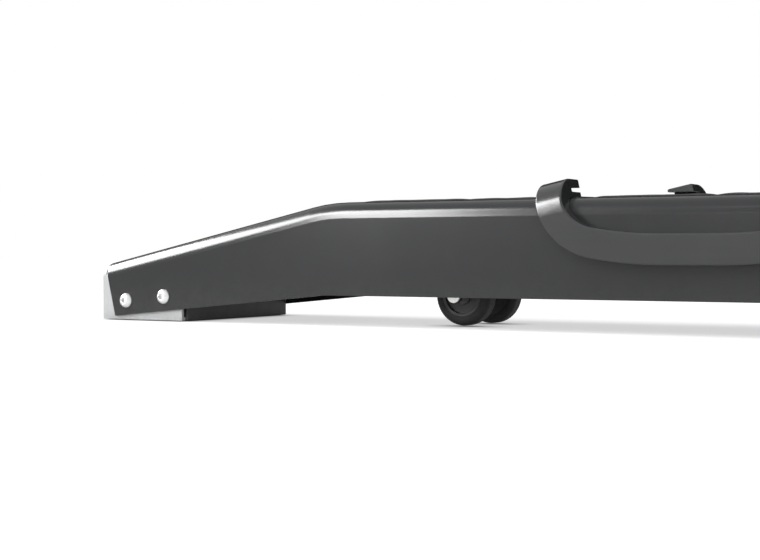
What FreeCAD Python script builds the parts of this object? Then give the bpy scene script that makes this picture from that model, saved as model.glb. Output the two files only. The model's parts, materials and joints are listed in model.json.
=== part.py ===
import FreeCAD, Part
import math
import os

import Sketcher

# A low slant board for physiotherapy.  Two pressed steel beams run along a moulded block at each end.
# A padded deck lies flush between them, and tilts up about a hinge at its left end, held by a prop.
#
# Frame: +X along the board, near side towards -Y, +Z up.  The origin is on the floor, under the middle.

NEAR, FAR = -1, 1
LEFT, RIGHT = -1, 1

doc = FreeCAD.newDocument("slant_board")
sheet = doc.addObject("Spreadsheet::Sheet", "sizes")


class Size:
    """A number that keeps the sheet formula it was worked out from."""

    def __init__(self, value, formula):
        self.value = value
        self.formula = formula

    @staticmethod
    def of(other):
        return other if isinstance(other, Size) else Size(float(other), f"({float(other)})")

    def __add__(self, other):
        other = Size.of(other)
        return Size(self.value + other.value, f"({self.formula} + {other.formula})")

    def __sub__(self, other):
        other = Size.of(other)
        return Size(self.value - other.value, f"({self.formula} - {other.formula})")

    def __mul__(self, other):
        other = Size.of(other)
        return Size(self.value * other.value, f"({self.formula} * {other.formula})")

    def __truediv__(self, other):
        other = Size.of(other)
        return Size(self.value / other.value, f"({self.formula} / {other.formula})")

    def __radd__(self, other):
        return Size.of(other) + self

    def __rsub__(self, other):
        return Size.of(other) - self

    def __rmul__(self, other):
        return Size.of(other) * self

    def __rtruediv__(self, other):
        return Size.of(other) / self

    def __neg__(self):
        return self * -1


def sine(angle):
    return Size(math.sin(math.radians(angle.value)), f"sin({angle.formula} * 1 deg)")


def cosine(angle):
    return Size(math.cos(math.radians(angle.value)), f"cos({angle.formula} * 1 deg)")


def tangent(angle):
    return sine(angle) / cosine(angle)


def square_root(number):
    return Size(math.sqrt(number.value), f"sqrt({number.formula})")


sheet_rows = 0


def size(alias, number):
    """Write one driving dimension into the sheet."""
    global sheet_rows
    sheet_rows += 1
    sheet.set(f"A{sheet_rows}", alias)
    sheet.set(f"B{sheet_rows}", str(number))
    sheet.setAlias(f"B{sheet_rows}", alias)
    return Size(float(number), f"sizes.{alias}")


# ---------------------------------------------------------------- driving dimensions, mm and degrees
# The board as a whole
overall_length = size("overall_length", 1800)
board_width = size("board_width", 270)
top_height = size("top_height", 165)
beam_underside = size("beam_underside", 40.4)
level_half_length = size("level_half_length", 512.5)
ramp_angle = size("ramp_angle", 12.2)
running_gap = size("running_gap", 1.5)

# Side beams
beam_wall = size("beam_wall", 3)
beam_edge_radius = size("beam_edge_radius", 22)
beam_flange_width = size("beam_flange_width", 24)
beam_end_setback = size("beam_end_setback", 25.4)
beam_end_underside = size("beam_end_underside", 5.6)
beam_end_lean = size("beam_end_lean", 13.5)
top_bend_radius = size("top_bend_radius", 260)
low_bend_radius = size("low_bend_radius", 180)

# End blocks
block_length = size("block_length", 146)
block_wall = size("block_wall", 5)
block_side_gap = size("block_side_gap", 0.5)
block_shoulder_radius = size("block_shoulder_radius", 18)
block_nose_gap = size("block_nose_gap", 1.5)
block_rib = size("block_rib", 4)
block_rib_pitch = size("block_rib_pitch", 63)
block_rib_setback = size("block_rib_setback", 8)
block_cover_thickness = size("block_cover_thickness", 4)
block_cover_inset = size("block_cover_inset", 8)
block_cover_drop = size("block_cover_drop", 2)
block_cover_gap = size("block_cover_gap", 0.1)
sole_pad_gap = size("sole_pad_gap", 0.2)
sole_pad_thickness = size("sole_pad_thickness", 3)
sole_pad_proud = size("sole_pad_proud", 0.6)
sole_pad_length = size("sole_pad_length", 110)
sole_pad_width = size("sole_pad_width", 60)
sole_pad_side_inset = size("sole_pad_side_inset", 22)

# Beam screws: M12 button heads with an internal hexagon
screw_shank = size("screw_shank", 12)
screw_head = size("screw_head", 21)
screw_head_height = size("screw_head_height", 6.6)
screw_socket = size("screw_socket", 8)
screw_socket_depth = size("screw_socket_depth", 4)
screw_length = size("screw_length", 26)
screw_setback = size("screw_setback", 21.3)
screw_pitch = size("screw_pitch", 68.9)
screw_rise = size("screw_rise", 20.5)
screw_hole_gap = size("screw_hole_gap", 0.25)
thread_gap = size("thread_gap", 0.05)
nut_width = size("nut_width", 18)
nut_height = size("nut_height", 10)
boss_diameter = size("boss_diameter", 32)
boss_height = size("boss_height", 5.5)

# Wheels: a pair on one axle under each half of the board
wheel_diameter = size("wheel_diameter", 80)
wheel_width = size("wheel_width", 28)
wheel_floor_gap = size("wheel_floor_gap", 0.6)
wheel_track = size("wheel_track", 81)
wheel_setback = size("wheel_setback", 166)
wheel_shoulder = size("wheel_shoulder", 8)
hub_diameter = size("hub_diameter", 56)
hub_recess = size("hub_recess", 4)
hub_boss_diameter = size("hub_boss_diameter", 24)
axle_diameter = size("axle_diameter", 12)
axle_running_gap = size("axle_running_gap", 0.05)
axle_head_diameter = size("axle_head_diameter", 18)
axle_head_height = size("axle_head_height", 3)
axle_spacer_diameter = size("axle_spacer_diameter", 18)
axle_spacer_gap = size("axle_spacer_gap", 0.3)
fork_thickness = size("fork_thickness", 5)
fork_wheel_gap = size("fork_wheel_gap", 15.5)
fork_end_radius = size("fork_end_radius", 10)
cross_tube_depth = size("cross_tube_depth", 30)
cross_tube_width = size("cross_tube_width", 40)
cross_tube_wall = size("cross_tube_wall", 2.5)
wheel_tube_gap = size("wheel_tube_gap", 4.4)

# Ramp panels and their treads
ramp_sheet = size("ramp_sheet", 2.5)
ramp_seam_gap = size("ramp_seam_gap", 0.1)
ramp_end_gap = size("ramp_end_gap", 6.5)
tread_drop = size("tread_drop", 0.5)
tread_groove_depth = size("tread_groove_depth", 1.3)
tread_pitch = size("tread_pitch", 18)
tread_groove_width = size("tread_groove_width", 6)
tread_inset = size("tread_inset", 6)

# Deck
deck_side_gap = size("deck_side_gap", 1.5)
deck_end_gap = size("deck_end_gap", 16.5)
tray_height = size("tray_height", 143)
tray_wall = size("tray_wall", 2.5)
tray_rim_depth = size("tray_rim_depth", 26)
tray_stiffener_depth = size("tray_stiffener_depth", 15)
tray_stiffener_outer = size("tray_stiffener_outer", 273)
tray_stiffener_left = size("tray_stiffener_left", 50)
tray_stiffener_right = size("tray_stiffener_right", 124)
pad_side_gap = size("pad_side_gap", 3)
pad_lift = size("pad_lift", 0.3)
pad_notch_gap = size("pad_notch_gap", 3)
pad_corner_radius = size("pad_corner_radius", 5)
bumper_diameter = size("bumper_diameter", 30)
bumper_track = size("bumper_track", 120)
bumper_gap = size("bumper_gap", 0.3)

# Hinge
hinge_setback = size("hinge_setback", 5.5)
hinge_height = size("hinge_height", 146)
hinge_knuckle = size("hinge_knuckle", 16)
hinge_pin_diameter = size("hinge_pin_diameter", 8)
hinge_pin_gap = size("hinge_pin_gap", 0.05)
hinge_leaf = size("hinge_leaf", 2.5)
hinge_leaf_reach = size("hinge_leaf_reach", 42)
hinge_length = size("hinge_length", 210)
hinge_knuckle_gap = size("hinge_knuckle_gap", 0.4)
hinge_pin_overhang = size("hinge_pin_overhang", 2)

# Hand grips
grip_thickness = size("grip_thickness", 20.5)
grip_lean = size("grip_lean", 12)
grip_stem_station = size("grip_stem_station", 175.2)
grip_stem_width = size("grip_stem_width", 34.6)
grip_stem_rise = size("grip_stem_rise", 20)
grip_far_shift = size("grip_far_shift", 88)
grip_bow_centre = size("grip_bow_centre", 36)
grip_drop = size("grip_drop", 60.4)
grip_bar_height = size("grip_bar_height", 37.4)
grip_bow_tight_radius = size("grip_bow_tight_radius", 88)
grip_hand_tight_radius = size("grip_hand_tight_radius", 50)
grip_prong_low = size("grip_prong_low", 5.8)
grip_slot_height = size("grip_slot_height", 5.5)
grip_slot_depth = size("grip_slot_depth", 27)
grip_web = size("grip_web", 5.5)
grip_foot_width = size("grip_foot_width", 22)
grip_foot_thickness = size("grip_foot_thickness", 10)
grip_edge_radius = size("grip_edge_radius", 2)
grip_screw_shank = size("grip_screw_shank", 8)
grip_screw_head = size("grip_screw_head", 14)
grip_screw_head_height = size("grip_screw_head_height", 4.4)
grip_screw_depth = size("grip_screw_depth", 8)

# Prop
prop_setback = size("prop_setback", 120)
prop_pivot_height = size("prop_pivot_height", 118)
prop_length = size("prop_length", 380)
prop_bar_height = size("prop_bar_height", 70)
prop_arm_width = size("prop_arm_width", 26)
prop_arm_thickness = size("prop_arm_thickness", 6)
prop_arm_track = size("prop_arm_track", 176)
prop_running_gap = size("prop_running_gap", 0.05)
prop_pin_diameter = size("prop_pin_diameter", 12)
prop_pin_head_diameter = size("prop_pin_head_diameter", 18)
prop_pin_head_height = size("prop_pin_head_height", 3)
prop_bar_diameter = size("prop_bar_diameter", 16)
prop_bar_overhang = size("prop_bar_overhang", 6)
prop_sleeve_diameter = size("prop_sleeve_diameter", 22)
prop_sleeve_length = size("prop_sleeve_length", 24)
prop_bracket_gap = size("prop_bracket_gap", 1)
prop_bracket_wall = size("prop_bracket_wall", 5)
prop_bracket_length = size("prop_bracket_length", 40)
prop_bracket_round = size("prop_bracket_round", 12)
rack_track = size("rack_track", 120)
rack_thickness = size("rack_thickness", 8)
rack_start = size("rack_start", 116)
rack_teeth = size("rack_teeth", 6)
rack_pitch = size("rack_pitch", 26)
rack_valley = size("rack_valley", 20.8)
rack_low = size("rack_low", 9)
rack_clearance = size("rack_clearance", 1.5)
rack_dip = size("rack_dip", 3.9)
rack_dip_station = size("rack_dip_station", 222)
rack_base_thickness = size("rack_base_thickness", 3)
rack_base_margin = size("rack_base_margin", 16)

# ---------------------------------------------------------------- places worked out from them
half_length = overall_length / 2
half_width = board_width / 2
web_inside = half_width - beam_wall
flange_edge = half_width - beam_flange_width
ramp_slope = tangent(ramp_angle)
ramp_skew = 1 / cosine(ramp_angle)
beam_corner = half_length - beam_end_setback
underside_slope = (beam_underside - beam_end_underside) / (beam_corner - level_half_length)
lean = tangent(beam_end_lean)
beam_tip_height = (
    top_height - ramp_slope * (beam_corner - level_half_length) + ramp_slope * lean * beam_end_underside
) / (1 + ramp_slope * lean)
beam_tip = beam_corner + (beam_tip_height - beam_end_underside) * lean
axle_height = wheel_diameter / 2 + wheel_floor_gap
wheel_station = level_half_length - wheel_setback


def ramp_height(station, drop=0):
    """Height of the sloping top line, a distance drop under it, that far from the middle."""
    return top_height - ramp_slope * (station - level_half_length) - ramp_skew * drop


def underside_height(station):
    """Height of the beams' sloping lower edge that far from the middle."""
    return beam_underside - underside_slope * (station - level_half_length)


def bend(slope, radius):
    """Where a rounded bend between a level and a sloping line starts, and how far it runs and falls."""
    skew = square_root(1 + slope * slope)
    start = radius * (skew - 1) / slope
    return start, start / skew, start / skew * slope


# ---------------------------------------------------------------- how pieces are made
nodes = {}


def node(made, label):
    """Name a finished piece; its name is also the name of its file."""
    made.Label = label
    nodes[label] = made
    return made


def bind(made, **formulas):
    """Tie properties of an object to sizes; a double underscore stands for a dot."""
    for name, length in formulas.items():
        made.setExpression(name.replace("__", "."), Size.of(length).formula)
    return made


def place(made, x=0, y=0, z=0):
    bind(made, Placement__Base__x=x, Placement__Base__y=y, Placement__Base__z=z)
    return made


def body(name):
    made = doc.addObject("PartDesign::Body", name)
    made.AllowCompound = True
    return made


def sketch_on(owner, role, name, x=0, y=0, z=0):
    """A sketch on one of the body's own origin planes, shifted in the plane's own directions."""
    plane = next(item for item in owner.Origin.OriginFeatures if item.Role == role)
    sketch = owner.newObject("Sketcher::SketchObject", name)
    sketch.AttachmentSupport = [(plane, "")]
    sketch.MapMode = "FlatFace"
    shift = {"x": x, "y": y, "z": z}
    for axis, distance in shift.items():
        sketch.setExpression(f"AttachmentOffset.Base.{axis}", Size.of(distance).formula)
    return sketch


def fix(sketch, kind, places, length):
    """Add one dimension to a sketch and tie it to its size."""
    index = sketch.addConstraint(Sketcher.Constraint(kind, *places, Size.of(length).value))
    sketch.setExpression(f"Constraints[{index}]", Size.of(length).formula)


def fix_point(sketch, geometry, point, x, y):
    fix(sketch, "DistanceX", (-1, 1, geometry, point), x)
    fix(sketch, "DistanceY", (-1, 1, geometry, point), y)


def near(value, target, slack=0.05):
    return abs(value - Size.of(target).value) < slack


def middle_of(edge):
    return edge.valueAt((edge.FirstParameter + edge.LastParameter) / 2)


def arc_between(start, end, radius, turn):
    """The arc from start to end, turning left (+1) or right (-1) by no more than half a circle."""
    half = (end - start) / 2
    rise = math.sqrt(max(radius**2 - half.Length**2, 0))
    centre = (start + end) / 2 + FreeCAD.Vector(-half.y, half.x, 0).normalize() * (turn * rise)
    if turn < 0:
        start, end = end, start
    first, last = (math.atan2(p.y - centre.y, p.x - centre.x) for p in (start, end))
    if last < first:
        last += 2 * math.pi
    return Part.ArcOfCircle(Part.Circle(centre, FreeCAD.Vector(0, 0, 1), radius), first, last)


def outline(sketch, corners):
    """A closed outline.  A corner is (x, y), or (x, y, radius, turn) when an arc leads on from it."""
    start = sketch.GeometryCount
    count = len(corners)
    points = [FreeCAD.Vector(Size.of(c[0]).value, Size.of(c[1]).value, 0) for c in corners]
    for step, corner in enumerate(corners):
        here, there = points[step], points[(step + 1) % count]
        if len(corner) == 4:
            arc = arc_between(here, there, Size.of(corner[2]).value, corner[3])
            sketch.addGeometry(arc)
        else:
            sketch.addGeometry(Part.LineSegment(here, there))
    # an arc that turns right is stored end first
    first = [2 if len(c) == 4 and c[3] < 0 else 1 for c in corners]
    last = [3 - point for point in first]
    for step in range(count):
        after = (step + 1) % count
        sketch.addConstraint(
            Sketcher.Constraint("Coincident", start + step, last[step], start + after, first[after])
        )
    for step, corner in enumerate(corners):
        fix_point(sketch, start + step, first[step], corner[0], corner[1])
        if len(corner) == 4:
            chord = points[(step + 1) % count] - points[step]
            if near(chord.Length, 2 * corner[2], 1e-6):
                # the radius can't hold half a circle, so its centre is fixed along its axis
                axis = 0 if abs(chord.y) > abs(chord.x) else 1
                middle = (corner[axis] + Size.of(corners[(step + 1) % count][axis])) / 2
                fix(sketch, ("DistanceX", "DistanceY")[axis], (-1, 1, start + step, 3), middle)
            else:
                fix(sketch, "Radius", (start + step,), corner[2])
    return sketch


def ring(sketch, x, y, radius):
    centre = FreeCAD.Vector(Size.of(x).value, Size.of(y).value, 0)
    circle = sketch.addGeometry(Part.Circle(centre, FreeCAD.Vector(0, 0, 1), Size.of(radius).value))
    fix_point(sketch, circle, 3, x, y)
    fix(sketch, "Radius", (circle,), radius)
    return sketch


def rectangle(sketch, x_low, x_high, y_low, y_high):
    corners = [(x_low, y_low), (x_high, y_low), (x_high, y_high), (x_low, y_high)]
    return outline(sketch, corners)


def pad(owner, sketch, length, reverse=False):
    made = owner.newObject("PartDesign::Pad", sketch.Name + "_pad")
    made.Profile = sketch
    made.Reversed = reverse
    bind(made, Length=length)
    doc.recompute()
    if made.Shape.isNull() or "Invalid" in sketch.State + made.State:
        raise RuntimeError(f"{made.Name} has no shape")
    return made


def pocket(owner, sketch, length=None, reverse=False):
    """Cut a pocket, right through both ways when no length is given, and see that it cuts."""
    before = owner.Shape.Volume
    made = owner.newObject("PartDesign::Pocket", sketch.Name + "_cut")
    made.Profile = sketch
    made.Reversed = reverse
    if length is None:
        made.Type = "ThroughAll"
        made.SideType = "Symmetric"
    else:
        bind(made, Length=length)
    doc.recompute()
    if "Invalid" in sketch.State + made.State or owner.Shape.Volume >= before:
        raise RuntimeError(f"{made.Name} cuts nothing")
    return made


def revolve(owner, sketch):
    """Turn a profile once about the sketch's own horizontal axis."""
    made = owner.newObject("PartDesign::Revolution", sketch.Name + "_turned")
    made.Profile = sketch
    made.ReferenceAxis = (sketch, ["H_Axis"])
    made.Angle = 360
    doc.recompute()
    return made


def round_edges(owner, chosen, radius):
    """Round the edges of a body's last feature that the test chosen picks."""
    base = owner.Tip
    names = [f"Edge{i}" for i, edge in enumerate(base.Shape.Edges, 1) if chosen(edge)]
    if not names:
        raise RuntimeError(f"no edge of {owner.Label} to round")
    made = owner.newObject("PartDesign::Fillet", f"{owner.Name}_round")
    made.Base = (base, names)
    bind(made, Radius=radius)
    doc.recompute()
    if made.Shape.isNull() or "Invalid" in made.State:
        raise RuntimeError(f"{made.Name} can't round {names} to {Size.of(radius).value}")
    return made


def prism_along_y(owner, name, corners, low, high):
    sketch = sketch_on(owner, "XZ_Plane", name, z=-low)
    outline(sketch, corners)
    return pad(owner, sketch, high - low, reverse=True)


def prism_along_x(owner, name, corners, low, high):
    sketch = sketch_on(owner, "YZ_Plane", name, z=low)
    outline(sketch, corners)
    return pad(owner, sketch, high - low)


def prism_along_z(owner, name, corners, low, high):
    sketch = sketch_on(owner, "XY_Plane", name, z=low)
    outline(sketch, corners)
    return pad(owner, sketch, high - low)


def rod(name, radius, x, y_low, y_high, z):
    """A round bar across the board."""
    made = doc.addObject("Part::Cylinder", name)
    made.Placement = FreeCAD.Placement(
        FreeCAD.Vector(), FreeCAD.Rotation(FreeCAD.Vector(1, 0, 0), -90)
    )
    bind(made, Radius=radius, Height=y_high - y_low)
    return place(made, x, y_low, z)


def group(label, shapes):
    """Separate identical solids that share one node."""
    made = doc.addObject("Part::Feature", label)
    made.Shape = Part.makeCompound(shapes)
    return node(made, label)


def copy_at(shape, x=0, y=0, z=0, turn=0):
    """A copy of a shape, turned about the vertical and then moved."""
    copied = shape.copy()
    copied.Placement = FreeCAD.Placement(
        FreeCAD.Vector(*(Size.of(item).value for item in (x, y, z))),
        FreeCAD.Rotation(FreeCAD.Vector(0, 0, 1), turn),
    ).multiply(shape.Placement)
    return copied


def ordered(side, corners):
    """Corners (x, y) or (x, y, radius, turn) of one side, mirrored in the first axis for the other."""
    if side > 0:
        return corners
    mirrored = [(-1 * Size.of(c[0]), c[1]) for c in corners]
    arcs = {}
    for step, corner in enumerate(corners):
        if len(corner) == 4:
            arcs[(step + 1) % len(corners)] = (corner[2], corner[3])
    turned = [
        point + arcs[step] if step in arcs else point for step, point in enumerate(mirrored)
    ]
    return turned[::-1]


def span(side, low, high):
    """The two ends of a stretch |low| to |high|, put in rising order on the side wanted."""
    return (low, high) if side > 0 else (-high, -low)


# ---------------------------------------------------------------- side beams
inner_bend_radius = top_bend_radius - beam_wall
inner_level = level_half_length + beam_wall * tangent(ramp_angle / 2)
before_bend, after_bend, inner_bend_fall = bend(ramp_slope, inner_bend_radius)
inner_bend_start = inner_level - before_bend
inner_bend_end = inner_level + after_bend


def side_beam(side, label):
    """A pressed plate whose rounded upper edge turns inwards as a narrow flange."""
    owner = body(label)
    outer = side * half_width
    low, high = (outer, side * flange_edge) if side == NEAR else (side * flange_edge, outer)
    low_start, low_run, low_fall = bend(underside_slope, low_bend_radius)
    top_start, top_run, top_fall = bend(ramp_slope, top_bend_radius)
    right = [
        (level_half_length - low_start, beam_underside, low_bend_radius, -1),
        (level_half_length + low_run, beam_underside - low_fall),
        (beam_corner, beam_end_underside),
        (beam_tip, beam_tip_height),
        (level_half_length + top_run, top_height - top_fall, top_bend_radius, 1),
        (level_half_length - top_start, top_height),
    ]
    prism_along_y(owner, f"{label}_profile", right + ordered(-1, right), low, high)

    def is_top(edge, face, bottom):
        point = middle_of(edge)
        station = abs(point.x)
        line = top_height.value
        if station > level_half_length.value:
            line = ramp_height(Size.of(station)).value
        on_face = all(near(vertex.Y, face) for vertex in edge.Vertexes)
        return on_face and line - bottom < point.z < line + 1

    # the hollow side, a wall inside the outer profile and open at both ends and below
    right = [
        (half_length, 0),
        (half_length, ramp_height(half_length, beam_wall)),
        (inner_bend_end, top_height - beam_wall - inner_bend_fall, inner_bend_radius, 1),
        (inner_bend_start, top_height - beam_wall),
    ]
    sketch = sketch_on(owner, "XZ_Plane", f"{label}_hollow", z=-side * flange_edge)
    outline(sketch, right + ordered(-1, right))
    pocket(owner, sketch, beam_flange_width - beam_wall, reverse=side == NEAR)
    round_edges(
        owner,
        lambda edge: is_top(edge, side * web_inside, 8),
        beam_edge_radius - beam_wall,
    )
    round_edges(owner, lambda edge: is_top(edge, outer, 5), beam_edge_radius)
    holes = sketch_on(owner, "XZ_Plane", f"{label}_screw_holes", z=-outer)
    for end in (LEFT, RIGHT):
        for station in screw_stations:
            ring(holes, end * station, underside_height(station) + screw_rise, screw_shank / 2)
    pocket(owner, holes)
    return node(owner, label)


screw_stations = [beam_corner - screw_setback, beam_corner - screw_setback - screw_pitch]
side_beam(NEAR, "side_beam_near")
side_beam(FAR, "side_beam_far")


# ---------------------------------------------------------------- ramp panels and treads
panel_start = level_half_length + ramp_end_gap
panel_drop = beam_wall + ramp_seam_gap
panel_under = panel_drop + ramp_sheet
panel_half_width = half_width - beam_edge_radius
nose_start = beam_tip + block_nose_gap
into_bend = panel_start - inner_bend_start
panel_start_height = (
    top_height
    - panel_drop
    - inner_bend_radius
    + square_root(inner_bend_radius * inner_bend_radius - into_bend * into_bend)
)


def panel_top(station):
    """Height of a ramp panel's upper face, which folds where the bend in the beams ends."""
    if station.value >= inner_bend_end.value:
        return ramp_height(station, panel_drop)
    fall = panel_start_height - ramp_height(inner_bend_end, panel_drop)
    return panel_start_height - fall * (station - panel_start) / (inner_bend_end - panel_start)


def ramp_panel(end, label, leg_foot):
    """A sheet as wide as the flat under the beams' flanges, with a leg folded down onto the cross tube."""
    owner = body(label)
    leg_back = panel_start + ramp_sheet
    corners = [
        (panel_start, leg_foot),
        (leg_back, leg_foot),
        (leg_back, panel_top(leg_back) - ramp_skew * ramp_sheet),
        (inner_bend_end, ramp_height(inner_bend_end, panel_under)),
        (beam_tip, ramp_height(beam_tip, panel_under)),
        (beam_tip, panel_top(beam_tip)),
        (inner_bend_end, panel_top(inner_bend_end)),
        (panel_start, panel_top(panel_start)),
    ]
    prism_along_y(owner, label + "_profile", ordered(end, corners), -panel_half_width, panel_half_width)
    return node(owner, label)


def ramp_tread(end, label):
    """A rubber mat with grooves across it, lying on the panel."""
    owner = body(label)
    low, high = panel_start + tread_inset, beam_tip - tread_inset
    corners = [
        (inner_bend_end, panel_top(inner_bend_end)),
        (high, panel_top(high)),
        (high, ramp_height(high, tread_drop)),
    ]
    grooves = int((high.value - low.value - tread_groove_width.value) // tread_pitch.value)
    for count in range(grooves, 0, -1):
        near_end = low + count * tread_pitch
        far_end = near_end + tread_groove_width
        under = tread_drop + tread_groove_depth
        corners += [
            (far_end, ramp_height(far_end, tread_drop)),
            (far_end, ramp_height(far_end, under)),
            (near_end, ramp_height(near_end, under)),
            (near_end, ramp_height(near_end, tread_drop)),
        ]
    corners += [(low, ramp_height(low, tread_drop)), (low, panel_top(low))]
    half = flange_edge - deck_side_gap
    prism_along_y(owner, label + "_profile", ordered(end, corners), -half, half)
    return node(owner, label)


hinge_x = level_half_length - hinge_setback
leaf_low = hinge_height - hinge_knuckle / 2
leaf_high = leaf_low + hinge_leaf
ramp_panel(LEFT, "ramp_panel_left", leaf_high)
ramp_panel(RIGHT, "ramp_panel_right", leaf_low)
ramp_tread(LEFT, "ramp_tread_left")
ramp_tread(RIGHT, "ramp_tread_right")


# ---------------------------------------------------------------- end blocks
block_inner_end = half_length - block_length
block_half_width = web_inside - block_side_gap
screw_heights = [underside_height(station) + screw_rise for station in screw_stations]
sole_low = half_length - (block_length + sole_pad_length) / 2
sole_high = sole_low + sole_pad_length
sole_inner = block_half_width - sole_pad_side_inset - sole_pad_width
sole_outer = block_half_width - sole_pad_side_inset


def end_block(end, label):
    """A moulded block, hollow and ribbed, open towards the middle of the board."""
    owner = body(label)
    core = [
        (block_inner_end, sole_pad_proud),
        (nose_start, sole_pad_proud),
        (nose_start, ramp_height(nose_start, panel_under)),
        (block_inner_end, ramp_height(block_inner_end, panel_under)),
    ]
    prism_along_y(owner, label + "_core", ordered(end, core), -block_half_width, block_half_width)

    def is_shoulder(edge, inset):
        """An edge along the sloping top, that far inside the core's outer faces."""
        spans = abs(edge.Vertexes[0].X - edge.Vertexes[1].X) > block_length.value / 2
        upper = middle_of(edge).z > beam_tip_height.value / 2
        sides = all(near(abs(v.Y), block_half_width - inset) for v in edge.Vertexes)
        return spans and sides and upper

    inner_end = nose_start - block_wall
    cavity = [
        (block_inner_end - block_wall, sole_pad_proud + block_wall),
        (inner_end, sole_pad_proud + block_wall),
        (inner_end, ramp_height(inner_end, panel_under + block_wall)),
        (block_inner_end - block_wall, ramp_height(block_inner_end - block_wall, panel_under + block_wall)),
    ]
    hollow = sketch_on(owner, "XZ_Plane", label + "_hollow", z=block_half_width - block_wall)
    outline(hollow, ordered(end, cavity))
    pocket(owner, hollow, 2 * (block_half_width - block_wall))
    round_edges(
        owner, lambda edge: is_shoulder(edge, block_wall), block_shoulder_radius - block_wall
    )
    round_edges(owner, lambda edge: is_shoulder(edge, 0), block_shoulder_radius)

    # the nose closes the end and follows the beams' rounded section
    nose_top = ramp_height(half_length, tread_drop)
    shoulder = block_half_width - block_shoulder_radius
    nose = [
        (-block_half_width, sole_pad_proud),
        (block_half_width, sole_pad_proud),
        (block_half_width, nose_top - block_shoulder_radius, block_shoulder_radius, 1),
        (shoulder, nose_top),
        (-shoulder, nose_top, block_shoulder_radius, 1),
        (-block_half_width, nose_top - block_shoulder_radius),
    ]
    prism_along_x(owner, label + "_nose", nose, *span(end, nose_start, half_length))

    # ribs, each let a millimetre into the walls, and a boss behind every screw
    rib_end = block_inner_end + block_rib_setback
    rib_top = panel_under + block_wall - 1
    rib = [
        (rib_end, sole_pad_proud + block_wall - 1),
        (inner_end + 1, sole_pad_proud + block_wall - 1),
        (inner_end + 1, ramp_height(inner_end + 1, rib_top)),
        (rib_end, ramp_height(rib_end, rib_top)),
    ]
    for count in (-1, 0, 1):
        low = count * block_rib_pitch - block_rib / 2
        prism_along_y(owner, f"{label}_rib{count + 1}", ordered(end, rib), low, low + block_rib)
    for side in (NEAR, FAR):
        low, high = span(side, block_half_width - block_wall - boss_height, block_half_width - 1)
        bosses = sketch_on(owner, "XZ_Plane", f"{label}_boss{side + 1}", z=-low)
        for station, height in zip(screw_stations, screw_heights):
            ring(bosses, end * station, height, boss_diameter / 2)
        pad(owner, bosses, high - low, reverse=True)
    holes = sketch_on(owner, "XZ_Plane", label + "_holes")
    for station, height in zip(screw_stations, screw_heights):
        ring(holes, end * station, height, screw_shank / 2 + screw_hole_gap)
    pocket(owner, holes)
    seats = sketch_on(owner, "XY_Plane", label + "_seats", z=sole_pad_thickness)
    for side in (NEAR, FAR):
        x_low, x_high = span(end, sole_low - sole_pad_gap, sole_high + sole_pad_gap)
        rectangle(seats, x_low, x_high, *span(side, sole_inner - sole_pad_gap, sole_outer + sole_pad_gap))
    pocket(owner, seats, sole_pad_thickness)
    return node(owner, label)


end_block(LEFT, "end_block_left")
end_block(RIGHT, "end_block_right")


def block_cover(end, label):
    """A dark plate on the block's open end, inset so that the block's side walls show beside it."""
    owner = body(label)
    half = block_half_width - block_cover_inset
    high = block_inner_end - block_cover_gap
    low = high - block_cover_thickness
    top = ramp_height(block_inner_end, panel_under + block_cover_drop)
    plate = [(-half, sole_pad_proud), (half, sole_pad_proud), (half, top), (-half, top)]
    prism_along_x(owner, label + "_plate", plate, *span(end, low, high))
    return node(owner, label)


block_cover(LEFT, "block_cover_left")
block_cover(RIGHT, "block_cover_right")

sole = body("sole_pad_master")
sole_sketch = sketch_on(sole, "XY_Plane", "sole_pad_outline")
rectangle(sole_sketch, sole_low, sole_high, sole_inner, sole_outer)
pad(sole, sole_sketch, sole_pad_thickness)
soles = []
for end in (LEFT, RIGHT):
    for side in (NEAR, FAR):
        across = 0 if side == end else side * (sole_inner + sole_outer)
        soles.append(copy_at(sole.Shape, y=across, turn=0 if end == RIGHT else 180))
group("sole_pads", soles)


# ---------------------------------------------------------------- beam screws and nuts
def button_screw(name, shank, head, head_height, length, socket, socket_depth):
    """A button-head screw along +Y, with the underside of its head at y = 0."""
    owner = body(name)
    turned = sketch_on(owner, "YZ_Plane", name + "_profile")
    rim = head_height / 5
    outline(
        turned,
        [
            (length, 0),
            (length, shank / 2 - 1),
            (length - 1, shank / 2),
            (0, shank / 2),
            (0, head / 2),
            (-rim, head / 2, head * 0.4, 1),
            (-head_height, head * 0.24),
            (-head_height, 0),
        ],
    )
    revolve(owner, turned)
    hexagon = sketch_on(owner, "XZ_Plane", name + "_socket", z=head_height)
    hexagon_outline(hexagon, socket)
    pocket(owner, hexagon, socket_depth)
    return owner


def hexagon_outline(sketch, flats):
    corner = flats / square_root(Size.of(3))
    half = corner / 2
    outline(
        sketch,
        [
            (corner, 0),
            (half, flats / 2),
            (-half, flats / 2),
            (-corner, 0),
            (-half, -flats / 2),
            (half, -flats / 2),
        ],
    )


screw_master = button_screw(
    "beam_screw_master",
    screw_shank,
    screw_head,
    screw_head_height,
    screw_length,
    screw_socket,
    screw_socket_depth,
)
nut_master = body("beam_nut_master")
nut_sketch = sketch_on(nut_master, "XZ_Plane", "nut_outline")
hexagon_outline(nut_sketch, nut_width)
ring(nut_sketch, 0, 0, screw_shank / 2 + thread_gap)
pad(nut_master, nut_sketch, nut_height, reverse=True)
nut_face = block_half_width - block_wall - boss_height
screws, nuts = [], []
for end in (LEFT, RIGHT):
    for side in (NEAR, FAR):
        for station, height in zip(screw_stations, screw_heights):
            turn = 0 if side == NEAR else 180
            screws.append(copy_at(screw_master.Shape, end * station, side * half_width, height, turn))
            nuts.append(copy_at(nut_master.Shape, end * station, side * nut_face, height, turn))
group("beam_screws", screws)
group("beam_nuts", nuts)


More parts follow.
